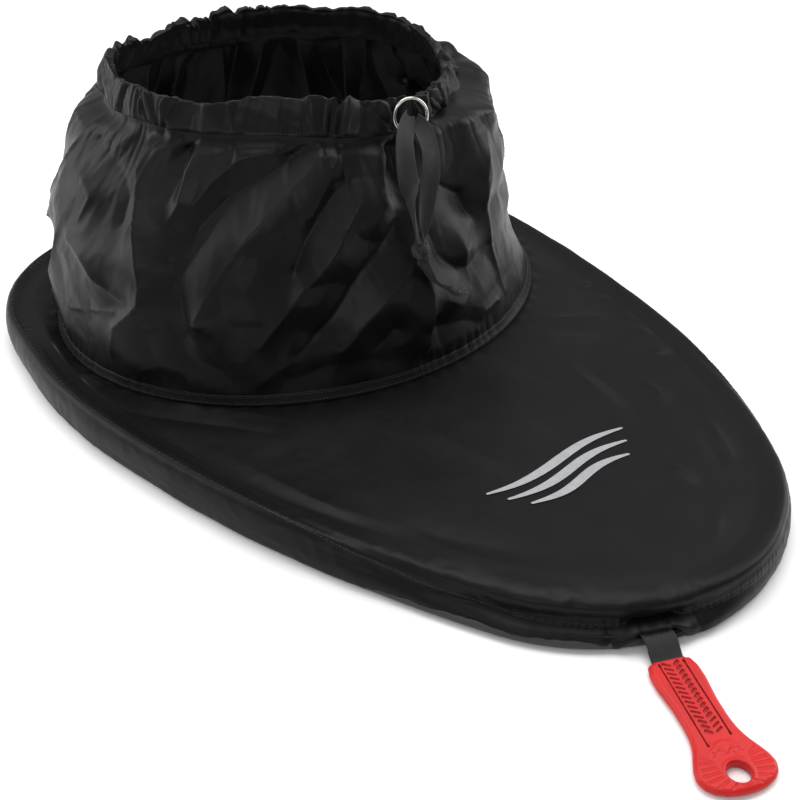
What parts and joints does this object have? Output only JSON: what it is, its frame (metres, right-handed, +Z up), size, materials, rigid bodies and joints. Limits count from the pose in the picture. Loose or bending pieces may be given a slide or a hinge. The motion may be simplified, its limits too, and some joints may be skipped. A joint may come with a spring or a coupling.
{
  "type": "kayak spray skirt",
  "caption": "Coated-nylon cockpit cover with a stretched deck over an elastic rim hem, a drawcord-gathered waist tunnel and a moulded grab handle on a webbing strap.",
  "frame": {"origin": "middle of the object's box, from the stern of the rim to the tip of the grab handle, on the surface that the rim hem rests on", "axes": "+X to the bow, where the grab handle is; +Y to starboard of the drawing's centre line; +Z up through the waist opening"},
  "size_m": [0.9683, 0.5584, 0.276],
  "materials": {
    "deck_cloth": "satin",
    "tunnel_cloth": "satin",
    "thread": "matte",
    "drawcord_tape": "matte",
    "webbing": "matte",
    "shock_cord": "matte",
    "nickel": "polished",
    "print_film": "satin",
    "red_rubber": "satin"
  },
  "bodies": {
    "skirt": {"deck_panel": "deck_cloth", "rim_side_band": "deck_cloth", "rim_hem_channel": "deck_cloth", "rim_shock_cord": "shock_cord", "shock_cord_crimp": "nickel", "deck_edge_stitching": "thread", "side_band_stitching": "thread", "tunnel_base_band": "tunnel_cloth", "tunnel_base_stitching": "thread", "waist_tunnel": "tunnel_cloth", "tunnel_front_seam": "tunnel_cloth", "strap_anchor_webbing": "webbing", "strap_bar_tack": "thread", "deck_print": "print_film"},
    "waist": {"waist_casing": "tunnel_cloth", "casing_stitching": "thread", "waist_drawcord": "drawcord_tape", "eyelet_ring": "nickel", "eyelet_washer": "nickel"},
    "drawcord_tails": {"drawcord_tail_left": "drawcord_tape", "drawcord_tail_right": "drawcord_tape", "drawcord_knot": "drawcord_tape", "drawcord_end": "drawcord_tape", "drawcord_end_tie": "drawcord_tape"},
    "grab_strap": {"grab_strap": "webbing"},
    "grab_handle": {"grab_handle": "red_rubber", "strap_tongue": "webbing"}
  },
  "joints": [
    {"name": "waist_collapse", "type": "slide", "parent": "skirt", "child": "waist", "axis": [0, 0, 1], "range_m": [-0.16, 0], "deforming": ["waist_tunnel", "tunnel_front_seam"]},
    {"name": "tails_swing", "type": "hinge", "parent": "waist", "child": "drawcord_tails", "pos_m": [-0.0415, 0.0144, 0.2585], "axis": [0, -1, 0], "range_deg": [0, 58]},
    {"name": "strap_lift", "type": "hinge", "parent": "skirt", "child": "grab_strap", "pos_m": [0.35562, -0.06466, 0.0131], "axis": [-0.3584, -0.9336, 0], "range_deg": [0, 60]},
    {"name": "handle_fold", "type": "hinge", "parent": "grab_strap", "child": "grab_handle", "pos_m": [0.36841, -0.06957, 0.0045], "axis": [-0.3584, -0.9336, 0], "range_deg": [0, 50]}
  ],
  "couplings": [
    {"joint": "tails_swing", "follows": "waist_collapse", "rad_per_m": -6.3}
  ]
}
